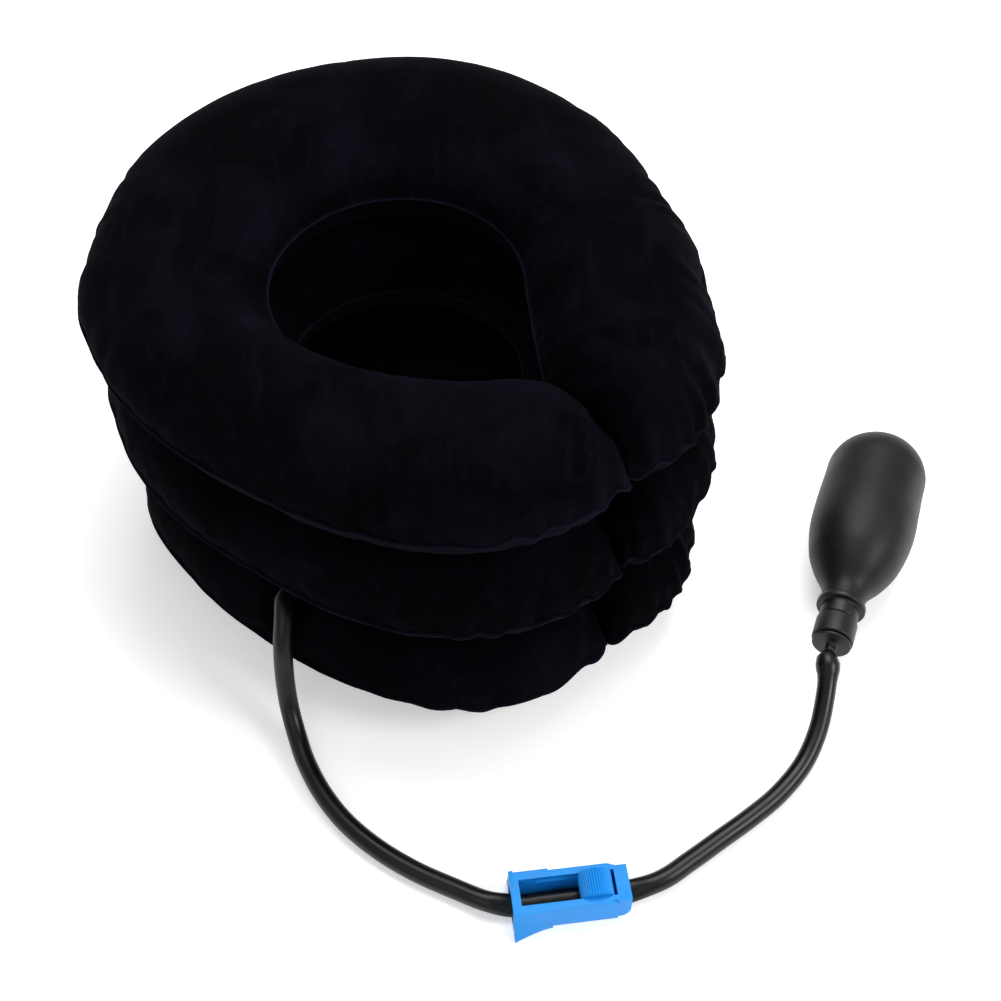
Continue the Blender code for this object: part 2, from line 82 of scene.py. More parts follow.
def alongBulb(along):
    turn = math.radians(place["bulbAngle"])
    return place["bulbNeck"] + Vector((along * math.cos(turn), along * math.sin(turn), 0.0))


clampMatrix = (Matrix.Translation(place["clampCentre"])
               @ Matrix.Rotation(math.radians(place["clampAngle"]), 4, "Z"))
bulbMatrix = (Matrix.Translation(place["bulbNeck"]) @ Matrix.Rotation(math.radians(place["bulbAngle"]), 4, "Z")
              @ Matrix.Rotation(math.radians(90.0), 4, "Y"))


def smoothLine(points, spacing):
    # evenly spaced points on a smooth curve through the given ones
    dense = []
    last = len(points) - 1
    for k in range(last):
        p0, p1, p2, p3 = points[max(k - 1, 0)], points[k], points[k + 1], points[min(k + 2, last)]
        for step in range(24):
            t = step / 24.0
            dense.append(0.5 * (2.0 * p1 + (p2 - p0) * t + (2.0 * p0 - 5.0 * p1 + 4.0 * p2 - p3) * t * t
                                + (3.0 * p1 - p0 - 3.0 * p2 + p3) * t ** 3))
    dense.append(points[last])
    gone = [0.0]
    for a, b in zip(dense, dense[1:]):
        gone.append(gone[-1] + (b - a).length)
    count = max(2, round(gone[-1] / spacing))
    spots, k = [], 0
    for step in range(count + 1):
        want = gone[-1] * step / count
        while k < len(dense) - 2 and gone[k + 1] < want:
            k += 1
        spots.append(dense[k].lerp(dense[k + 1], min((want - gone[k]) / (gone[k + 1] - gone[k]), 1.0)))
    return spots


def lineLength(points):
    return sum((b - a).length for a, b in zip(points, points[1:]))


def makeObject(name, vertices, faces, material=None, smoothAngle=None, matrix=None):
    mesh = bpy.data.meshes.new(name)
    mesh.from_pydata([tuple(v) for v in vertices], [], faces)
    bm = bmesh.new()
    bm.from_mesh(mesh)
    bmesh.ops.recalc_face_normals(bm, faces=bm.faces)
    bm.to_mesh(mesh)
    bm.free()
    mesh.shade_smooth()
    if smoothAngle is not None:
        mesh.set_sharp_from_angle(angle=math.radians(smoothAngle))
    if material:
        mesh.materials.append(material)
    obj = bpy.data.objects.new(name, mesh)
    scene.collection.objects.link(obj)
    if matrix is not None:
        obj.matrix_world = matrix
    return obj


def turned(name, profile, segments, material, matrix=None, reach=None, smoothAngle=35.0):
    # a closed profile of (radius, height) points turned about Z
    vertices, rings = [], []
    for k, (radius, height) in enumerate(profile):
        count = 1 if radius == 0.0 else segments
        ring = []
        for step in range(count):
            angle = 2.0 * math.pi * step / segments
            r = reach(k, radius, angle) if reach else radius
            ring.append(len(vertices))
            vertices.append((r * math.cos(angle), r * math.sin(angle), height))
        rings.append(ring)
    faces = []
    for a, b in zip(rings, rings[1:] + rings[:1]):
        if len(a) == 1 and len(b) == 1:
            continue
        for step in range(segments):
            after = (step + 1) % segments
            if len(a) == 1:
                faces.append((a[0], b[step], b[after]))
            elif len(b) == 1:
                faces.append((a[step], b[0], a[after]))
            else:
                faces.append((a[step], b[step], b[after], a[after]))
    return makeObject(name, vertices, faces, material, smoothAngle, matrix)


def rounded(profile, radius, steps=4):
    # the same closed profile with each corner that isn't on the axis rounded
    out = []
    count = len(profile)
    for k in range(count):
        before, here, after = (Vector(profile[(k + d) % count]) for d in (-1, 0, 1))
        if here.x == 0.0:
            out.append(tuple(here))
            continue
        back, on = before - here, after - here
        reach = min(radius, 0.45 * back.length, 0.45 * on.length)
        start, end = here + back.normalized() * reach, here + on.normalized() * reach
        for step in range(steps + 1):
            t = step / steps
            out.append(tuple(start * (1 - t) ** 2 + here * 2 * t * (1 - t) + end * t * t))
    return out


# camera, light and floor
view = {"ground": (-11.0 * mm, -474.6 * mm), "height": 545.0 * mm, "down": 50.0, "lens": 50.35}
camera = bpy.data.objects.new("camera", bpy.data.cameras.new("camera"))
camera.location = (*view["ground"], view["height"])
camera.rotation_euler = (math.radians(90.0 - view["down"]), 0.0, 0.0)
camera.data.lens = view["lens"]
camera.data.sensor_width = 36.0
camera.data.clip_start = 0.01
camera.data.dof.use_dof = False
scene.collection.objects.link(camera)
scene.camera = camera

studio = {
    "worldStrength": 0.44,
    "lamps": [
        # name, place, aim, size, power
        ("keyLamp", (0.08, 0.42, 1.25), (0.0, -0.05, 0.05), 0.9, 15.0),
        ("fillLamp", (0.95, -0.45, 0.85), (0.0, -0.05, 0.05), 0.45, 7.0),
        ("frontLamp", (-0.35, -1.05, 0.9), (-0.05, -0.05, 0.05), 0.8, 1.6),
    ],
}
world = bpy.data.worlds.new("studio")
world.use_nodes = True
world.node_tree.nodes["Background"].inputs["Color"].default_value = (1.0, 1.0, 1.0, 1.0)
world.node_tree.nodes["Background"].inputs["Strength"].default_value = studio["worldStrength"]
scene.world = world
for name, spot, aim, size, power in studio["lamps"]:
    lamp = bpy.data.objects.new(name, bpy.data.lights.new(name, "AREA"))
    lamp.data.shape = "SQUARE"
    lamp.data.size = size
    lamp.data.energy = power
    lamp.location = spot
    lamp.rotation_euler = (Vector(aim) - Vector(spot)).to_track_quat("-Z", "Y").to_euler()
    scene.collection.objects.link(lamp)
scene.view_settings.view_transform = "Standard"
scene.view_settings.look = "None"
print("camera and lamps set")


# shader maths
class Wire:
    def __init__(self, paint, socket):
        self.paint = paint
        self.socket = socket

    def work(self, operation, other=0.0, swap=False):
        first, second = (other, self) if swap else (self, other)
        return self.paint.node("Math", {"operation": operation}, {0: first, 1: second})

    def __add__(self, other):
        return self.work("ADD", other)

    def __radd__(self, other):
        return self.work("ADD", other, True)

    def __sub__(self, other):
        return self.work("SUBTRACT", other)

    def __rsub__(self, other):
        return self.work("SUBTRACT", other, True)

    def __mul__(self, other):
        return self.work("MULTIPLY", other)

    def __rmul__(self, other):
        return self.work("MULTIPLY", other, True)


class Paint:
    def __init__(self, name, fixed):
        self.material = bpy.data.materials.new(name)
        self.material.use_nodes = True
        self.tree = self.material.node_tree
        self.shader = self.tree.nodes["Principled BSDF"]
        for socket, value in fixed.items():
            self.shader.inputs[socket].default_value = value

    def node(self, kind, settings=None, sockets=None, output=0):
        made = self.tree.nodes.new("ShaderNode" + kind)
        for key, value in (settings or {}).items():
            setattr(made, key, value)
        for key, value in (sockets or {}).items():
            if isinstance(value, Wire):
                self.tree.links.new(value.socket, made.inputs[key])
            else:
                made.inputs[key].default_value = value
        return Wire(self, made.outputs[output])

    def spot(self, scale=(1.0, 1.0, 1.0)):
        coordinates = self.node("TexCoord", output=3)
        return self.node("Mapping", {}, {"Vector": coordinates, "Scale": scale})

    def noise(self, scale, detail=3.0, roughness=0.5, stretch=(1.0, 1.0, 1.0), distortion=0.0):
        return self.node("TexNoise", {}, {"Vector": self.spot(stretch), "Scale": scale, "Detail": detail,
                                          "Roughness": roughness, "Distortion": distortion})

    def spread(self, value, low, high, toLow=0.0, toHigh=1.0):
        return self.node("MapRange", {"clamp": True}, {0: value, 1: low, 2: high, 3: toLow, 4: toHigh})

    def mix(self, factor, a, b):
        first, second = (end if isinstance(end, Wire) else (*end, 1.0) for end in (a, b))
        return self.node("Mix", {"data_type": "RGBA"}, {0: factor, 6: first, 7: second}, 2)

    def bump(self, height, distance, strength=1.0):
        return self.node("Bump", {}, {"Height": height, "Distance": distance, "Strength": strength})

    def feed(self, **links):
        names = {"colour": "Base Color", "roughness": "Roughness", "normal": "Normal"}
        for key, wire in links.items():
            self.tree.links.new(wire.socket, self.shader.inputs[names[key]])
        return self.material


def flockMaterial(name, deepTone, lightTone, tipTone):
    paint = Paint(name, {"Roughness": 0.95, "Specular IOR Level": 0.02, "Sheen Weight": 0.012,
                         "Sheen Roughness": 0.28, "Sheen Tint": (0.34, 0.35, 0.90, 1.0)})
    # brushed nap: broad clouds, a few strokes, and fine pile
    clouds = paint.noise(26.0, 4.0, 0.55, distortion=0.6)
    strokes = paint.noise(90.0, 3.0, 0.6, stretch=(1.0, 0.25, 1.0), distortion=1.2)
    pile = paint.noise(2600.0, 2.0, 0.6)
    lay = paint.spread(clouds, 0.42, 0.70) * 0.62 + paint.spread(strokes, 0.50, 0.72) * 0.38
    deep = paint.mix(lay, deepTone, lightTone)
    colour = paint.mix(paint.spread(pile, 0.35, 0.7) * 0.3, deep, tipTone)
    height = pile * 0.7 + strokes * 0.3
    return paint.feed(colour=colour, normal=paint.bump(height, 0.25 * mm, 0.5),
                      roughness=paint.spread(clouds, 0.3, 0.7, 0.84, 0.96))


def rubberMaterial(name, base, rough, grain, shine):
    paint = Paint(name, {"Specular IOR Level": shine})
    bloom = paint.noise(38.0, 4.0, 0.6, distortion=0.4)
    fine = paint.noise(grain, 3.0, 0.6)
    dusty = tuple(1.5 * c for c in base)
    colour = paint.mix(paint.spread(bloom, 0.4, 0.75), base, dusty)
    roughness = paint.spread(bloom, 0.3, 0.7, rough - 0.05, rough + 0.06) + fine * 0.03
    return paint.feed(colour=colour, roughness=roughness, normal=paint.bump(fine, 0.05 * mm, 0.35))


def plasticMaterial(name, base, rough, shine, variation=0.12):
    paint = Paint(name, {"Specular IOR Level": shine})
    flow = paint.noise(60.0, 3.0, 0.5)
    fine = paint.noise(1500.0, 2.0, 0.6)
    light = tuple(min(1.0, c * (1.0 + variation)) for c in base)
    dark = tuple(c * (1.0 - variation) for c in base)
    colour = paint.mix(paint.spread(flow, 0.35, 0.65), dark, light)
    roughness = paint.spread(flow, 0.3, 0.7, rough - 0.04, rough + 0.05)
    return paint.feed(colour=colour, roughness=roughness, normal=paint.bump(fine, 0.04 * mm, 0.3))


flock = flockMaterial("blackFlock", (0.0005, 0.0005, 0.0007), (0.0032, 0.0033, 0.0066),
                      (0.0030, 0.0030, 0.0066))
# a lighter violet flock for the welds' rims: a painted highlight along the weld lines, where the sheen catches the
# seam
weldHighlightFlock = flockMaterial("weldPaintedHighlight", (0.0030, 0.0030, 0.0070), (0.0070, 0.0070, 0.0150),
                          (0.0070, 0.0070, 0.0150))
bulbRubber = rubberMaterial("bulbRubber", (0.0055, 0.0055, 0.0058), 0.46, 900.0, 0.24)
hoseRubber = rubberMaterial("hoseRubber", (0.0030, 0.0030, 0.0033), 0.32, 700.0, 0.30)
valvePlastic = plasticMaterial("valvePlastic", (0.0040, 0.0040, 0.0044), 0.40, 0.36)
portPlastic = plasticMaterial("portPlastic", (0.0040, 0.0040, 0.0044), 0.44, 0.5)
bluePlastic = plasticMaterial("bluePlastic", (0.008, 0.270, 0.760), 0.42, 0.20, 0.05)

ground = {"reach": 15.0, "level": -0.2 * mm, "tones": [(0.86, 0.86, 0.86), (0.88, 0.88, 0.88)]}
floorPaint = Paint("studioFloor", {"Roughness": 0.7, "Specular IOR Level": 0.2, "Emission Strength": 0.40,
                                   "Emission Color": (1.0, 1.0, 1.0, 1.0)})
floorGrain = floorPaint.noise(4.0, 2.0)
floorMaterial = floorPaint.feed(colour=floorPaint.mix(floorGrain, *ground["tones"]))
corners = [(x * ground["reach"], y * ground["reach"], 0) for x, y in ((-1, -1), (1, -1), (1, 1), (-1, 1))]
floor = makeObject("floor", corners, [(0, 1, 2, 3)], floorMaterial)
floor.location.z = ground["level"]
print("materials ready")

# hose: out of the crease, over the bottom tier, through the clamp and up to the bulb
hose = {
    "diameter": 8.4 * mm,
    "toClamp": [(-47.2, -127.0, 51.5), (-47.9, -135.3, 42.5), (-48.2, -141.8, 28.5), (-47.0, -149.0, 15.0),
                (-43.6, -159.0, 7.4), (-38.8, -171.0, 4.6), (-30.6, -185.8, 4.4), (-19.5, -199.8, 4.4),
                (-5.5, -211.8, 4.4), (10.5, -221.8, 4.4), (28.0, -230.0, 4.6), (41.0, -235.4, 5.0)],
    "toBulb": [(111.5, -226.4, 5.0), (124.5, -217.6, 4.5), (138.0, -207.8, 4.4), (151.5, -198.0, 4.4),
               (164.8, -187.2, 4.8), (176.8, -174.0, 7.0), (184.4, -160.5, 11.5), (188.4, -148.0, 17.0),
               (190.6, -137.5, 21.8)],
    "clampLength": 48.0 * mm,
    "runHeight": 4.104 * mm,
    "clampShares": (-0.42, -0.2, 0.2, 0.42),
    "spacing": 2.6 * mm,
    "flatShare": 0.62,
    "wideShare": 0.10,
    "squeezeRun": 10.0 * mm,
    "endRun": 3.0 * mm,
    "barbTip": -28.2 * mm,
    # over the barb: how much, where and how far along
    "bulge": (1.25 * mm, 6.5 * mm, 4.2 * mm),
    "endTaper": (1.5 * mm, 1.9 * mm),
    "sides": 24,
    # where it stays down while the middle tier sinks, and the slant between the two
    "stays": (-44.4, -157.5, 6.4),
    "slant": (-0.35, 0.45, 0.82),
}


def hoseRoute():
    length = hose["clampLength"]
    gap = place["fitGap"]
    start = onCollar(place["inletEnd"] + gap, place["inletAngle"], place["tierPitch"])
    points = [onCollar(place["inletEnd"] + gap + hose["endRun"], place["inletAngle"], place["tierPitch"])]
    points += [collarCentre + Vector(spot) * mm for spot in hose["toClamp"]]
    points += [alongClamp(share * length, hose["runHeight"]) for share in hose["clampShares"]]
    points += [collarCentre + Vector(spot) * mm for spot in hose["toBulb"]]
    points.append(alongBulb(hose["barbTip"] - gap - hose["endRun"]))
    return [start] + smoothLine(points, hose["spacing"]) + [alongBulb(hose["barbTip"] - gap)]


def makeHose():
    route = hoseRoute()
    radius = 0.5 * hose["diameter"]
    middle = alongClamp(0.0, hose["runHeight"])
    bulge, bulgeAt, bulgeRun = hose["bulge"]
    taper, taperRun = hose["endTaper"]
    left = [0.0]
    for a, b in zip(reversed(route), list(reversed(route))[1:]):
        left.append(left[-1] + (b - a).length)
    left.reverse()
    vertices, faces = [], []
    up = Vector((0.0, 0.0, 1.0))
    side = None
    for k, spot in enumerate(route):
        ahead = (route[min(k + 1, len(route) - 1)] - route[max(k - 1, 0)]).normalized()
        if side is None:
            side = ahead.cross(up).normalized()
        side = (side - ahead * side.dot(ahead)).normalized()
        lift = side.cross(ahead).normalized()
        away = (spot - middle).length
        share = min(1.0, max(0.0, (away - 0.5 * hose["clampLength"] - mm) / hose["squeezeRun"]))
        share = share * share * (3.0 - 2.0 * share)
        high = radius * (hose["flatShare"] + (1.0 - hose["flatShare"]) * share)
        wide = radius * (1.0 + hose["wideShare"] * (1.0 - share))
        # the end stretched over the barb: a rolled lip, then a swelling
        swell = bulge * math.exp(-((left[k] - bulgeAt) / bulgeRun) ** 2)
        swell -= taper * math.exp(-(left[k] / taperRun) ** 2)
        for step in range(hose["sides"]):
            turn = 2.0 * math.pi * step / hose["sides"]
            vertices.append(spot + side * (wide + swell) * math.cos(turn)
                            + lift * (high + swell) * math.sin(turn))
    count = hose["sides"]
    for ring in range(len(route) - 1):
        for step in range(count):
            after = (step + 1) % count
            low, high = ring * count, (ring + 1) * count
            faces.append((low + step, low + after, high + after, high + step))
    faces.append(tuple(range(count)))
    faces.append(tuple(range((len(route) - 1) * count, len(route) * count)))
    piece = makeObject("hoseTube", vertices, faces, hoseRubber, 60)
    return piece, route


hosePiece, hosePath = makeHose()
hoseLength = lineLength(hosePath)
print("hose laid:", round(hoseLength, 4), "m")

# tiers: outlines as (degrees, millimetres from the collar's middle)
collar = {
    "outer": [(0, 133), (20, 129), (50, 138), (80, 151), (105, 152), (135, 148), (165, 139), (195, 136),
              (225, 133.5), (245, 136), (265, 147), (285, 160), (300, 160), (320, 158), (335, 152), (348, 140)],
    "neck": [(0, 57), (30, 54), (70, 52.5), (110, 52), (150, 53), (180, 56), (207, 60), (230, 64),
             (256, 66.5), (275, 71), (292, 80), (307, 97), (316, 84), (326, 72), (343, 61)],
    "closure": 307.0,
    "middle": 130.0 * mm,
    # how far each outline leaves the common one: degrees, reach, degrees of spread
    "leans": [[(334.0, 5.5 * mm, 24.0), (215.0, -2.0 * mm, 25.0), (284.0, 4.0 * mm, 24.0)],
              [(346.0, 6.5 * mm, 24.0), (282.0, 3.5 * mm, 28.0)], [(352.0, 1.2 * mm, 20.0)]],
    "endGap": 0.12 * mm,
    "endRounding": 22.0 * mm,
    # how blunt the back and the front arm's end are
    "blunt": (0.80, 0.885),
    "neckBlunt": 0.955,
    "scallop": [2.9 * mm, 2.6 * mm, 2.3 * mm],
    # puckers: spacing along the welds, slow and quick unevenness, and how far in they run
    "pucker": {"outer": 19.0 * mm, "inner": 9.0 * mm, "end": 10.5 * mm, "slow": 27.0 * mm, "quick": 11.0 * mm,
               "level": 19.0 * mm, "outerRun": 9.5 * mm, "innerRun": 8.0 * mm, "endRun": 10.0 * mm,
               "scallopRun": 7.0 * mm, "endReach": 62.0 * mm, "sharp": 1.8,
               # degrees where the right and the left side are gathered most, and their spread
               "sides": [(-8.0, 34.0), (182.0, 26.0)]},
    "sway": (1.1 * mm, 15.0 * mm, 8.3 * mm),
    "wander": (1.7 * mm, 5.0 * mm),
    # a raised fold and the trough beside it, on the front arm
    "fold": {"length": 26.0 * mm, "high": 1.2 * mm, "width": 1.9 * mm, "deep": 1.5 * mm, "beside": 4.2 * mm,
             "troughWidth": 3.0 * mm},
    # the room for the inlet, deep and wide: most in the bottom tier, which shuts down over it
    "crease": [(17.0 * mm, 10.5 * mm), (5.0 * mm, 13.0 * mm)],
    "bow": 9.0 * mm,
    "bowRun": 45.0 * mm,
    "bowRadius": 110.0 * mm,
    "sizes": [(0.955, -6.5 * mm), (0.985, -2.0 * mm), (1.0, 0.0)],
    "names": ["bottomTier", "middleTier", "topTier"],
    "bodies": ["base", "middle_tier", "top_tier"],
    "weld": 1.1 * mm,
    "weldThickness": 0.6 * mm,
    "tierGap": 0.3 * mm,
    # how much of a pressed sheet is flat, and how slanted the lower sheet's edge is
    "flat": 0.16,
    "slant": 0.36,
    "crossSteps": 36,
    "rows": {"roundEnd": 16, "near": 1.7 * mm, "grows": 1.9 * mm, "from": 45.0 * mm, "over": 40.0 * mm},
    "seed": 40,
    "keep": 0.296,
}


def readOutline(knots, angles):
    # a smooth closed outline through (degrees, millimetres), read at many angles
    degrees = np.array([k[0] for k in knots], float)
    radii = np.array([k[1] for k in knots], float) * mm
    count = len(knots)
    angles = np.asarray(angles, float) % 360.0
    index = np.searchsorted(degrees, angles, side="right") - 1

    def knot(k):
        turns = np.floor_divide(k, count)
        return degrees[k % count] + 360.0 * turns, radii[k % count]

    (a0, r0), (a1, r1), (a2, r2), (a3, r3) = (knot(index + step) for step in (-1, 0, 1, 2))
    span = a2 - a1
    t = (angles - a1) / span
    s1 = (r2 - r0) / (a2 - a0) * span
    s2 = (r3 - r1) / (a3 - a1) * span
    return ((2 * t ** 3 - 3 * t ** 2 + 1) * r1 + (t ** 3 - 2 * t ** 2 + t) * s1
            + (3 * t ** 2 - 2 * t ** 3) * r2 + (t ** 3 - t ** 2) * s2)


def tierRows():
    # rows round the collar as (angle, distance from the nearer end), closer together near the ends
    perMetre = math.degrees(1.0 / collar["middle"])
    spacing = collar["rows"]
    start = collar["closure"] - 360.0 + (collar["endGap"] + collar["weld"]) * perMetre
    end = collar["closure"] - (collar["endGap"] + collar["weld"]) * perMetre
    total = (end - start) / perMetre
    count = spacing["roundEnd"]
    distances = [collar["endRounding"] * (1.0 - math.cos(0.5 * math.pi * k / count)) for k in range(count + 1)]
    while distances[-1] < 0.5 * total:
        far = distances[-1]
        share = min(1.0, max(0.0, (far - spacing["from"]) / spacing["over"]))
        distances.append(far + spacing["near"] + spacing["grows"] * share)
    distances = [d for d in distances if d < 0.5 * total]
    rows = [(start + d * perMetre, d) for d in distances]
    rows += [(end - d * perMetre, d) for d in reversed(distances)]
    return rows


def around(angles, at):
    # degrees from a place on the collar, either way
    return (angles - at + 180.0) % 360.0 - 180.0


def tierOutlines(index, angles, ends, backArm):
    # the sheet's middle line and half width at each row, and how far the ends' rounding lets it rise
    size = collar["sizes"][index][0]
    inner = readOutline(collar["neck"], angles) * size
    outer = readOutline(collar["outer"], angles) * size
    for at, reach, span in collar["leans"][index]:
        outer = outer + reach * np.exp(-(around(angles, at) / span) ** 2)
    swell = np.sqrt(np.clip(1.0 - (1.0 - np.clip(ends / collar["endRounding"], 0, 1)) ** 2, 0, 1))
    middle = 0.5 * (inner + outer)
    inner = middle + (inner - middle) * (collar["neckBlunt"] + (1.0 - collar["neckBlunt"]) * swell)
    # the front arm's end is fuller than the back arm's, which tucks in behind it
    blunt = np.where(backArm, *collar["blunt"])
    outer = middle + (outer - middle) * (blunt + (1.0 - blunt) * swell)
    return outer, 0.5 * (outer + inner), 0.5 * (outer - inner), swell


def pinches(distance, spacing, shift):
    # uneven gathers along a weld, 0 to 1
    pucker = collar["pucker"]
    phase = (distance / spacing + 0.55 * np.sin(distance / pucker["slow"] + shift)
             + 0.33 * np.sin(distance / pucker["quick"] + 2.1 * shift))
    wave = 0.5 + 0.5 * np.cos(2.0 * math.pi * phase)
    level = 0.62 + 0.38 * np.sin(distance / pucker["level"] + 3.7 * shift)
    return wave ** pucker["sharp"] * level


def makeTier(index):
    forward = collar["sizes"][index][1]
    rows = tierRows()
    angles = np.array([row[0] for row in rows])
    ends = np.array([row[1] for row in rows])
    backArm = np.arange(len(rows)) < len(rows) // 2
    outer, middle, half, swell = tierOutlines(index, angles, ends, backArm)
    steps = collar["crossSteps"]
    # u runs across the sheet, from -1 at the neck to 1 at the outer weld
    u = np.broadcast_to(np.sin(0.5 * math.pi * np.linspace(-1.0, 1.0, steps + 1)), (len(rows), steps + 1))
    seam = (index + 0.5) * place["tierPitch"]
    arc = np.concatenate([[0.0], np.cumsum(np.abs(np.diff(angles)) * math.pi / 180.0 * 0.5
                                           * (outer[1:] + outer[:-1]))])
    shift = float(np.random.default_rng(collar["seed"] + index).uniform(0, 6.0))
    pucker, fold = collar["pucker"], collar["fold"]

    # the weld line gathers the sheet strongly at the arms' ends, less at the sides, faintly elsewhere
    nearEnd = np.exp(-(ends / pucker["endReach"]) ** 2)
    rightSide, leftSide = (np.exp(-(around(angles, at) / span) ** 2) for at, span in pucker["sides"])
    envelope = np.clip(0.05 + nearEnd + 0.62 * rightSide + 0.34 * leftSide, 0, 1.25)
    outerPinch = pinches(arc, pucker["outer"], shift) * envelope
    innerPinch = pinches(arc * 0.5, pucker["inner"], shift + 1.7) * (0.10 + 0.30 * nearEnd)
    outerFold = np.sin(2.0 * math.pi * (arc / pucker["outer"] + 0.55 * np.sin(arc / pucker["slow"] + shift)) + 0.9)
    swayReach, swayLong, swayShort = collar["sway"]
    sway = ((np.sin(arc / swayLong + shift) + 0.5 * np.sin(arc / swayShort + 2.0 * shift))
            * np.clip(0.15 + 0.8 * rightSide + 0.9 * leftSide + 0.5 * nearEnd, 0, 1))
    wanderReach, wanderRun = collar["wander"]
    fromOuter = (1.0 - u) * half[:, None]
    fromNeck = (1.0 + u) * half[:, None]
    foot = 0.5 * collar["weldThickness"]

    result = []
    for side in (1, -1):
        # the top and the underside of the collar are free, the other sheets press on a neighbour
        pressed = not ((index == 2 and side > 0) or (index == 0 and side < 0))
        reach = 0.5 * place["tierPitch"] - (0.5 * collar["tierGap"] if pressed else 0.0)
        flat = collar["flat"] if pressed or index == 0 else 0.0
        beyond = np.clip(np.abs(u) - flat, 0, None) / (1.0 - flat)
        # the lower sheet leaves the outer weld at a slant, as a lens does
        slant = 0.5 + (collar["slant"] * np.clip(u, 0, 1) ** 2 if side < 0 else 0.0)
        dome = np.clip(1.0 - beyond ** 2.05, 0, None) ** slant
        lift = (reach - foot) * dome * swell[:, None]
        depth = 0.36 * outerPinch[:, None] * np.exp(-fromOuter / pucker["outerRun"])
        depth = depth + 0.25 * innerPinch[:, None] * np.exp(-fromNeck / pucker["innerRun"])
        endPinch = pinches(u * half[:, None] + 60.0 * mm, pucker["end"], shift + 0.8 + side * 0.2)
        depth = depth + 0.30 * endPinch * np.exp(-ends[:, None] / pucker["endRun"])
        lift = lift * (1.0 - np.clip(depth, 0, 0.8))
        # a fold runs from the front arm's crown to its outer corner
        if side > 0:
            run = np.clip(ends / fold["length"], 0, 1)[:, None]
            off = (u - (0.80 - 0.72 * run)) * half[:, None]
            along = np.sin(math.pi * run) * ~backArm[:, None]
            ridge = np.exp(-(off / fold["width"]) ** 2) * along
            trough = np.exp(-((off - fold["beside"]) / fold["troughWidth"]) ** 2) * along
            lift = lift + fold["high"] * ridge - fold["deep"] * trough
        # the crease gives way round the hose's inlet
        if (index == 0 and side > 0) or (index == 1 and side < 0):
            off = np.radians(around(angles, place["inletAngle"]))[:, None]
            deep, width = collar["crease"][index]
            near = np.exp(-np.abs(off * (middle[:, None] + half[:, None] * u) / width) ** 3)
            lift = lift - deep * near * np.clip((u + 0.2) / 0.5, 0, 1) * dome
        lift = np.clip(lift, 0, None)
        radius = middle[:, None] + half[:, None] * u
        radius = radius - (collar["scallop"][index] * outerPinch)[:, None] * np.exp(-fromOuter / pucker["scallopRun"])
        radius = radius + (swayReach * sway)[:, None] * np.clip((u + 1.0) / 2.0, 0, 1) ** 2
        wander = (wanderReach * outerFold * np.clip(envelope, 0, 1))[:, None] * np.exp(-fromOuter / wanderRun)
        bow = collar["bow"] * np.exp(-(ends / collar["bowRun"]) ** 2)[:, None]
        bow = bow * (1.0 - 0.62 * u ** 2) * (1.0 - 0.35 * u)
        turn = np.radians(angles)[:, None] + bow / collar["bowRadius"]
        x = collarCentre.x + radius * np.cos(turn)
        y = collarCentre.y + radius * np.sin(turn) + forward
        z = seam + wander + side * (foot + lift)
        result.append(np.stack([x, y, z], -1))
    return result


def tierMesh(index):
    upper, lower = makeTier(index)
    count, across = upper.shape[:2]
    forward = collar["sizes"][index][1]
    centre = np.array([collarCentre.x, collarCentre.y + forward])

    def framed(grid):
        # adds the weld's rim round a sheet
        wide = np.zeros((count + 2, across + 2, 3))
        wide[1:-1, 1:-1] = grid
        for column, inward in ((0, 1), (across + 1, across)):
            edge = wide[1:-1, inward]
            flatPart = edge[:, :2] - centre
            length = np.linalg.norm(flatPart, axis=1, keepdims=True)
            reach = collar["weld"] * (1.0 if column else -1.0)
            wide[1:-1, column, :2] = centre + flatPart * (1.0 + reach / length)
            wide[1:-1, column, 2] = edge[:, 2]
        for row, inward, sense in ((0, 1, -1.0), (count + 1, count, 1.0)):
            edge = wide[inward]
            turn = sense * collar["weld"] / collar["middle"]
            flatPart = edge[:, :2] - centre
            spin = np.array([[math.cos(turn), -math.sin(turn)], [math.sin(turn), math.cos(turn)]])
            wide[row, :, :2] = centre + flatPart @ spin.T
            wide[row, :, 2] = edge[:, 2]
        return wide

    top, bottom = framed(upper), framed(lower)
    rowsAll, columns = top.shape[:2]
    vertices = np.concatenate([top.reshape(-1, 3), bottom.reshape(-1, 3)])
    half = rowsAll * columns
    faces = []
    for i in range(rowsAll - 1):
        for j in range(columns - 1):
            a, d = i * columns + j, (i + 1) * columns + j
            b, c = a + 1, d + 1
            faces.append((a, b, c, d))
            faces.append((half + a, half + d, half + c, half + b))
    # faces round the weld's rim, which take the painted weld highlight
    weldHighlightFaces = [2 * (i * (columns - 1) + j) + side for i in range(rowsAll - 1) for j in range(columns - 1)
                 for side in (0, 1) if i in (0, rowsAll - 2) or j in (0, columns - 2)]
    border = list(range(columns)) + [i * columns + columns - 1 for i in range(1, rowsAll)]
    border += [(rowsAll - 1) * columns + j for j in range(columns - 2, -1, -1)]
    border += [i * columns for i in range(rowsAll - 2, 0, -1)]
    for a, b in zip(border, border[1:] + border[:1]):
        weldHighlightFaces.append(len(faces))
        faces.append((a, b, half + b, half + a))
    return vertices, faces, weldHighlightFaces


cloth = {"frames": 20, "pressure": 4.0, "spare": -0.035, "cap": 3.0 * mm, "stiff": 15.0, "bend": 0.6,
         "mass": 0.25, "quality": 6, "least": 0.45, "spread": 62.0, "under": 0.35}


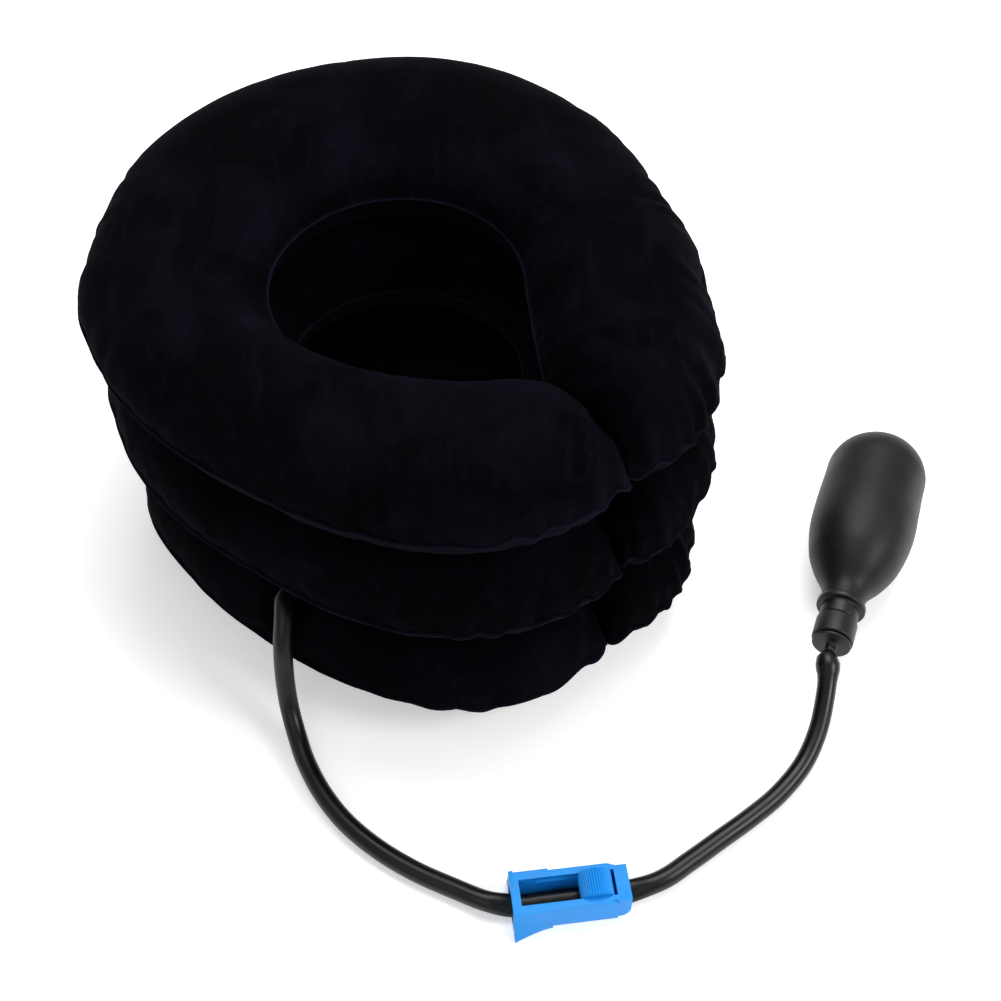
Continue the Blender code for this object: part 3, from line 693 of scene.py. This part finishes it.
def inflate(tier, index, pinned):
    # the sheets are cut a little larger than the welds allow, so the air puckers them along the seams
    group = tier.vertex_groups.new(name="weld")
    group.add(pinned, 1.0, "REPLACE")
    modifier = tier.modifiers.new("cloth", "CLOTH")
    settings = modifier.settings
    settings.quality = cloth["quality"]
    settings.mass = cloth["mass"]
    settings.tension_stiffness = settings.compression_stiffness = cloth["stiff"]
    settings.shear_stiffness = 0.4 * cloth["stiff"]
    settings.bending_stiffness = cloth["bend"]
    settings.vertex_group_mass = "weld"
    settings.use_pressure = True
    settings.uniform_pressure_force = cloth["pressure"]
    settings.shrink_min = cloth["spare"]
    settings.effector_weights.gravity = 0.0
    modifier.collision_settings.use_self_collision = False
    modifier.collision_settings.use_collision = False
    for step in range(1, cloth["frames"] + 1):
        scene.frame_set(step)
    graph = bpy.context.evaluated_depsgraph_get()
    moved = tier.evaluated_get(graph).to_mesh()
    count = len(tier.data.vertices)
    before, after = np.zeros(count * 3), np.zeros(count * 3)
    tier.data.vertices.foreach_get("co", before)
    moved.vertices.foreach_get("co", after)
    tier.evaluated_get(graph).to_mesh_clear()
    tier.modifiers.clear()
    before, after = before.reshape(-1, 3), after.reshape(-1, 3)
    shift = after - before
    length = np.linalg.norm(shift, axis=1, keepdims=True)
    shift = shift * np.tanh(length / cloth["cap"]) * cloth["cap"] / np.maximum(length, 1e-9)
    # looser towards the arms' ends, tighter round the back and underneath
    angle = np.degrees(np.arctan2(before[:, 1] - collarCentre.y, before[:, 0] - collarCentre.x)) % 360.0
    fromClosure = np.abs(around(angle, collar["closure"]))
    loose = cloth["least"] + (1.0 - cloth["least"]) * np.exp(-(fromClosure / cloth["spread"]) ** 2)
    seam = (index + 0.5) * place["tierPitch"]
    loose = loose * np.where(before[:, 2] < seam, cloth["under"], 1.0)
    after = before + shift * loose[:, None]
    low = index * place["tierPitch"] + (0.5 * collar["tierGap"] if index else 0.0)
    high = (index + 1) * place["tierPitch"] - (0.5 * collar["tierGap"] if index < 2 else 0.0)
    after[:, 2] = np.clip(after[:, 2], low, high)
    tier.data.vertices.foreach_set("co", after.reshape(-1))
    tier.data.update()
    scene.frame_set(1)
    return float(length.max()), float(length.mean())


tierPieces = []
for index, name in enumerate(collar["names"]):
    vertices, faces, weldHighlightFaces = tierMesh(index)
    tier = makeObject(name, vertices, faces, flock)
    # the weld rim faces get the lighter flock, a painted highlight along the welds
    tier.data.materials.append(weldHighlightFlock)
    for k in weldHighlightFaces:
        tier.data.polygons[k].material_index = 1
    columns = collar["crossSteps"] + 3
    rows = len(vertices) // (2 * columns)
    rim = [i * columns + j for i in range(rows) for j in range(columns)
           if i < 2 or i > rows - 3 or j < 2 or j > columns - 3]
    rim += [rows * columns + k for k in rim]
    print(name, "moved by the air (most, mean):", inflate(tier, index, rim))
    tierPieces.append(tier)
    print(name, "has", len(vertices), "points")

# bulb and its valve, turned about one axis
bulb = {
    "radius": 24.4 * mm,
    "length": 104.0 * mm,
    "neck": 9.6 * mm,
    "bore": 6.6 * mm,
    "wall": 2.2 * mm,
    "intake": 3.0 * mm,
    "segments": 96,
    "endSteps": 26,
    # soft moulded rubber is never quite round: how fine, how much, and where in the noise
    "lumps": [(34.0, 0.75 * mm, (3.0, 1.0, 7.0)), (75.0, 0.22 * mm, (9.0, 4.0, 2.0))],
    "swell": [(0.0, 0.0), (0.07, 0.05), (0.125, 0.18), (0.19, 0.40), (0.265, 0.61), (0.35, 0.78), (0.50, 0.945),
              (0.66, 1.0), (0.83, 1.0), (1.0, 0.975)],
}


def makeBulb():
    straight = bulb["length"] - bulb["radius"]
    line = smoothLine([Vector((straight * a, 0.0, bulb["neck"] + (bulb["radius"] - bulb["neck"]) * s))
                       for a, s in bulb["swell"]], 1.6 * mm)
    outer = [(p.z, p.x) for p in line]
    endRadius = outer[-1][0]
    slit = math.asin(bulb["intake"] / endRadius)
    for k in range(1, bulb["endSteps"] + 1):
        angle = 0.5 * math.pi + (slit - 0.5 * math.pi) * k / bulb["endSteps"]
        outer.append((endRadius * math.sin(angle), straight + bulb["radius"] * math.cos(angle)))
    inner = [(max(bulb["bore"], r - bulb["wall"]), h - (bulb["wall"] if h > straight else 0.0))
             for r, h in outer[4:-2:2]]
    lip = [(bulb["intake"], outer[-1][1] - bulb["wall"])]
    start = [(bulb["neck"] - 0.6 * mm, 0.0), (bulb["bore"], 0.0)]
    profile = outer + lip + inner[::-1] + start[::-1]
    piece = turned("bulbShell", profile, bulb["segments"], bulbRubber, bulbMatrix, smoothAngle=50)
    for vertex in piece.data.vertices:
        spot = vertex.co
        radial = Vector((spot.x, spot.y, 0.0))
        share = min(1.0, radial.length / bulb["radius"])
        push = sum(noise.noise(spot * fine + Vector(shift)) * high for fine, high, shift in bulb["lumps"])
        vertex.co = spot + radial.normalized() * push * share ** 3 if radial.length > 0.0 else spot
    return piece


bulbPiece = makeBulb()
# millimetres, heights counted from the bulb's mouth
valve = {"plug": 6.2, "plugTop": 5.0, "bore": 3.0, "lip": 11.1, "lipTop": -0.3, "lipThick": 3.0, "collar": 8.7,
         "collarLong": 7.0, "sleeve": 6.8, "sleeveLong": 11.9, "gap": 0.3, "ring": 9.3, "ringBore": 7.1,
         "ringLong": 11.3, "ribs": 56, "ribDepth": 0.06, "disc": 8.7, "discThick": 1.4, "barb": 2.3,
         "barbRoot": 3.2, "barbPoint": 1.9, "stem": 2.6, "stemTop": -15.0}


def millimetres(points):
    return [(r * mm, h * mm) for r, h in points]


lipEnd = valve["lipTop"] - valve["lipThick"]
collarEnd = lipEnd - valve["collarLong"]
sleeveEnd = collarEnd - valve["sleeveLong"]
bodyProfile = millimetres([(4.0, valve["plugTop"]), (valve["plug"], valve["plugTop"]),
                           (valve["plug"], valve["lipTop"]), (valve["lip"], valve["lipTop"]),
                           (valve["lip"], lipEnd), (valve["collar"], lipEnd), (valve["collar"], collarEnd),
                           (valve["sleeve"], collarEnd), (valve["sleeve"], sleeveEnd), (valve["bore"], sleeveEnd),
                           (valve["bore"], valve["plugTop"])])
valvePiece = turned("valveCollar", rounded(bodyProfile, 0.8 * mm), 72, valvePlastic, bulbMatrix)
ringTop = collarEnd - valve["gap"]
ringEnd = ringTop - valve["ringLong"]
ringProfile = rounded(millimetres([(valve["ringBore"], ringTop), (valve["ring"], ringTop),
                                   (valve["ring"], ringEnd), (valve["ringBore"], ringEnd)]), 0.9 * mm, 6)


def ribbedRing(k, radius, angle):
    if radius < (valve["ring"] - 0.5) * mm:
        return radius
    return radius - valve["ribDepth"] * mm * (0.5 - 0.5 * math.cos(valve["ribs"] * angle)) ** 2


ringPiece = turned("thumbRing", ringProfile, 384, valvePlastic, bulbMatrix, reach=ribbedRing)
discTop = sleeveEnd - valve["gap"]
discEnd = discTop - valve["discThick"]
tip = hose["barbTip"] / mm
barbProfile = millimetres([(0.0, valve["stemTop"]), (valve["stem"], valve["stemTop"]), (valve["stem"], discTop),
                           (valve["disc"], discTop), (valve["disc"], discEnd), (valve["barbRoot"], discEnd),
                           (valve["barb"], discEnd - 0.9), (valve["barb"], tip + 1.0),
                           (valve["barbPoint"], tip), (0.0, tip)])
barbPiece = turned("barbDisc", rounded(barbProfile, 0.5 * mm), 64, valvePlastic, bulbMatrix)
intake = {"bore": 1.0, "stem": 2.7, "root": 96.0, "cap": 4.5, "capTop": 4.0, "sunk": 0.2}
tipHeight = bulb["length"] / mm - intake["sunk"]
plugProfile = millimetres([(intake["bore"], intake["root"]), (intake["stem"], intake["root"]),
                           (intake["stem"], tipHeight + 0.2), (intake["cap"], tipHeight + 0.5),
                           (intake["capTop"], tipHeight + 1.2), (intake["bore"], tipHeight + 1.3)])
plugPiece = turned("intakePlug", rounded(plugProfile, 0.4 * mm), 48, valvePlastic, bulbMatrix)
print("bulb turned")

# roller clamp, in millimetres, its length along x
clamp = {"length": 48.0, "width": 15.0, "height": 16.5, "wall": 2.0, "floor": 1.2, "frame": 3.6, "block": 5.6,
         "stepLength": 16.0, "step": 0.7, "mouth": 15.0, "flare": 4.4, "roller": 6.9, "rollerWidth": 10.7,
         "hub": 5.2, "hubProud": 0.12, "ribDepth": 0.5, "axle": 1.5, "gap": 0.3, "travel": 22.0, "teeth": 40,
         "corner": 5.0, "cheek": 0.9, "cheekCorner": 4.0, "cheekFoot": 0.6, "notch": 0.9, "flange": 0.5,
         "flangeLong": 1.8, "hose": 8.4, "hoseFlat": 0.62, "hoseRoom": 0.6, "parking": 1.0, "groove": 1.2,
         "edge": 0.35}


def prismObject(name, outline, low, high, axis):
    vertices = []
    for level in (low, high):
        for first, second in outline:
            spot = [first * mm, second * mm]
            spot.insert(axis, level * mm)
            vertices.append(tuple(spot))
    count = len(outline)
    faces = [tuple(range(count)), tuple(range(count, 2 * count))]
    faces += [(k, (k + 1) % count, count + (k + 1) % count, count + k) for k in range(count)]
    return makeObject(name, vertices, faces)


def blockObject(name, low, high):
    outline = [(low[0], low[1]), (high[0], low[1]), (high[0], high[1]), (low[0], high[1])]
    return prismObject(name, outline, low[2], high[2], 2)


def carve(piece, tool, operation="DIFFERENCE"):
    modifier = piece.modifiers.new(tool.name, "BOOLEAN")
    modifier.operation = operation
    modifier.solver = "EXACT"
    modifier.object = tool
    settle(piece)
    bpy.data.objects.remove(tool, do_unlink=True)


def settle(piece):
    # applies the piece's modifiers to its mesh
    graph = bpy.context.evaluated_depsgraph_get()
    graph.update()
    old = piece.data
    piece.data = bpy.data.meshes.new_from_object(piece.evaluated_get(graph))
    piece.modifiers.clear()
    bpy.data.meshes.remove(old)


def soften(piece, width):
    bevel = piece.modifiers.new("edges", "BEVEL")
    bevel.width = width
    bevel.segments = 3
    bevel.limit_method = "ANGLE"
    bevel.angle_limit = math.radians(35.0)
    bevel.harden_normals = False
    settle(piece)
    piece.data.shade_smooth()
    piece.data.set_sharp_from_angle(angle=math.radians(50))


def flareObject(half, pad, height):
    # a wedge on each side, widest at the mouth's bottom edge and gone by the end of the step
    vertices, faces = [], []
    rows, columns, root, top = 8, 6, 1.5, 0.92
    for sense in (-1, 1):
        base = len(vertices)
        for i in range(rows + 1):
            along = i / rows
            for j in range(columns + 1):
                drop = j / columns
                out = clamp["flare"] * (1.0 - along) ** 1.35 * drop ** 1.15
                for wide in (pad + out, pad - root):
                    vertices.append(((-half + clamp["mouth"] * along) * mm, sense * wide * mm,
                                     height * top * (1.0 - drop) * mm))

        def at(i, j, k):
            return base + 2 * (i * (columns + 1) + j) + k

        for i in range(rows):
            for j in range(columns):
                for k in (0, 1):
                    faces.append((at(i, j, k), at(i + 1, j, k), at(i + 1, j + 1, k), at(i, j + 1, k)))
            for j in (0, columns):
                faces.append((at(i, j, 0), at(i + 1, j, 0), at(i + 1, j, 1), at(i, j, 1)))
        for j in range(columns):
            for i in (0, rows):
                faces.append((at(i, j, 0), at(i, j + 1, 0), at(i, j + 1, 1), at(i, j, 1)))
    return makeObject("flare", vertices, faces)


def mouthObject(half, inner, height):
    # the mouth's hollow, opening out towards the end
    vertices = []
    for x, out, top in ((-half - 0.5, 3.4, 0.84), (-half + clamp["frame"] + 1.0, 0.4, 0.70)):
        for y, z in ((-inner - out, clamp["floor"] * 0.7), (inner + out, clamp["floor"] * 0.7),
                     (inner + 0.2, height * top), (-inner - 0.2, height * top)):
            vertices.append((x * mm, y * mm, z * mm))
    faces = [(0, 1, 2, 3), (4, 5, 6, 7)] + [(k, (k + 1) % 4, 4 + (k + 1) % 4, 4 + k) for k in range(4)]
    return makeObject("mouthHollow", vertices, faces)


def makeClamp():
    half, side = 0.5 * clamp["length"], 0.5 * clamp["width"]
    height, inner = clamp["height"], 0.5 * clamp["width"] - clamp["wall"]
    corner, cheekCorner = clamp["corner"], clamp["cheekCorner"]
    bend = [(half - corner + corner * math.sin(math.radians(a)), corner - corner * math.cos(math.radians(a)))
            for a in range(0, 91, 10)]
    body = prismObject("clampShell", [(-half, 0.0)] + bend + [(half, height), (-half, height)], -side, side, 1)
    stepTo = -half + clamp["stepLength"]
    cheekTo = half - clamp["block"] + 0.4
    cheek = side + clamp["cheek"]
    # cheeks down both long sides, ending in a rounded corner before the plain block
    cheekOutline = [(-half, clamp["cheekFoot"]), (cheekTo, clamp["cheekFoot"])] + [
        (cheekTo - cheekCorner + cheekCorner * math.cos(math.radians(a)),
         height - cheekCorner + cheekCorner * math.sin(math.radians(a)))
        for a in range(0, 91, 10)] + [(-half, height)]
    carve(body, prismObject("cheeks", cheekOutline, -cheek, cheek, 1), "UNION")
    carve(body, blockObject("notch", (cheekTo + 0.2, -side - 2.0, height - clamp["notch"]),
                            (half + 2.0, side + 2.0, height + 2.0)))
    pad = cheek + clamp["step"]
    carve(body, blockObject("pad", (-half, -pad, 0.0), (stepTo, pad, height)), "UNION")
    lip = pad + clamp["flange"]
    carve(body, blockObject("flange", (-half, -lip, 0.0), (-half + clamp["flangeLong"], lip, height + 0.4)),
          "UNION")
    carve(body, flareObject(half, pad, height), "UNION")
    windowLow, windowHigh = -half + clamp["frame"], half - clamp["block"]
    carve(body, blockObject("window", (windowLow, -inner, clamp["floor"]), (windowHigh, inner, height + 1.0)))
    hoseRadius = 0.5 * clamp["hose"]
    bore = hoseRadius + clamp["hoseRoom"]
    level = clamp["floor"] + clamp["gap"] + hoseRadius
    arch = [(bore * math.cos(math.radians(a)), level + bore * math.sin(math.radians(a)))
            for a in range(180, -1, -10)]
    tunnel = [(-bore, clamp["floor"])] + arch + [(bore, clamp["floor"])]
    carve(body, prismObject("bore", tunnel, -half - 1.0, half + 1.0, 0))
    carve(body, mouthObject(half, inner, height))
    rollerHeight = clamp["floor"] + 2.0 * clamp["gap"] + clamp["hose"] * clamp["hoseFlat"] + clamp["roller"]
    grooveHalf = clamp["axle"] + clamp["gap"]
    rest = windowHigh - clamp["parking"] - clamp["roller"]
    reach = inner + clamp["groove"]
    carve(body, blockObject("groove", (rest - clamp["travel"] - grooveHalf, -reach, rollerHeight - grooveHalf),
                            (rest + grooveHalf, reach, rollerHeight + grooveHalf)))
    body.data.materials.clear()
    body.data.materials.append(bluePlastic)
    soften(body, clamp["edge"] * mm)
    body.matrix_world = clampMatrix
    return body, rest, rollerHeight


def makeRoller(rest, rollerHeight):
    hole, face = clamp["axle"] + clamp["gap"], 0.5 * clamp["rollerWidth"]
    hub = face + clamp["hubProud"]
    profile = rounded(millimetres([(hole, -hub), (clamp["hub"], -hub), (clamp["hub"], -face),
                                   (clamp["roller"], -face), (clamp["roller"], face), (clamp["hub"], face),
                                   (clamp["hub"], hub), (hole, hub)]), 0.3 * mm, 3)

    def ribs(k, radius, angle):
        if radius < (clamp["hub"] + 0.5) * mm:
            return radius
        return radius - clamp["ribDepth"] * mm * (0.5 - 0.5 * math.cos(clamp["teeth"] * angle)) ** 1.5

    matrix = clampMatrix @ Matrix.Translation(Vector((rest, 0.0, rollerHeight)) * mm) @ Matrix.Rotation(
        math.radians(90.0), 4, "X")
    return turned("rollerWheel", profile, 12 * clamp["teeth"], bluePlastic, matrix, reach=ribs)


clampPiece, rollerRest, rollerHeight = makeClamp()
rollerPiece = makeRoller(rollerRest, rollerHeight)
print("clamp made")

# materials for the CAD pieces that stay
for node, material in (("hose_inlet", portPlastic), ("bottom_middle_air_port", portPlastic),
                       ("middle_top_air_port", portPlastic), ("intake_flap", bulbRubber),
                       ("valve_ball", bulbRubber), ("roller_axle", bluePlastic)):
    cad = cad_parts[node]
    cad.data.materials.clear()
    cad.data.materials.append(material)

# what rides on what
for index, tier in enumerate(tierPieces):
    name = collar["names"][index].removesuffix("Tier")
    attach(tier, collar["bodies"][index])
    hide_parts(name + "_lower_panel", name + "_upper_panel")
for index, (tier, joint) in enumerate(zip(tierPieces, ("bottom_deflate", "middle_deflate", "middle_deflate"))):
    index * place["tierPitch"]
    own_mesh(tier)

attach(clampPiece, "base")
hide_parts("clamp_body")
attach(rollerPiece, "roller")
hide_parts("roller_wheel")
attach(bulbPiece, "base")
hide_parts("bulb")
for piece, body, node in ((valvePiece, "base", "valve_body"), (ringPiece, "release", "release_ring"),
                          (barbPiece, "base", "hose_barb"), (plugPiece, "base", "intake_valve")):
    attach(piece, body)
    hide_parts(node)

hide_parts("hose")
inletSpot = hosePath[0]
stays = collarCentre + Vector(hose["stays"]) * mm
slant = Vector(hose["slant"]).normalized()
inletSpot - slant * (inletSpot - stays).dot(slant)
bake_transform(hosePiece)
print("pieces ride on their bodies")
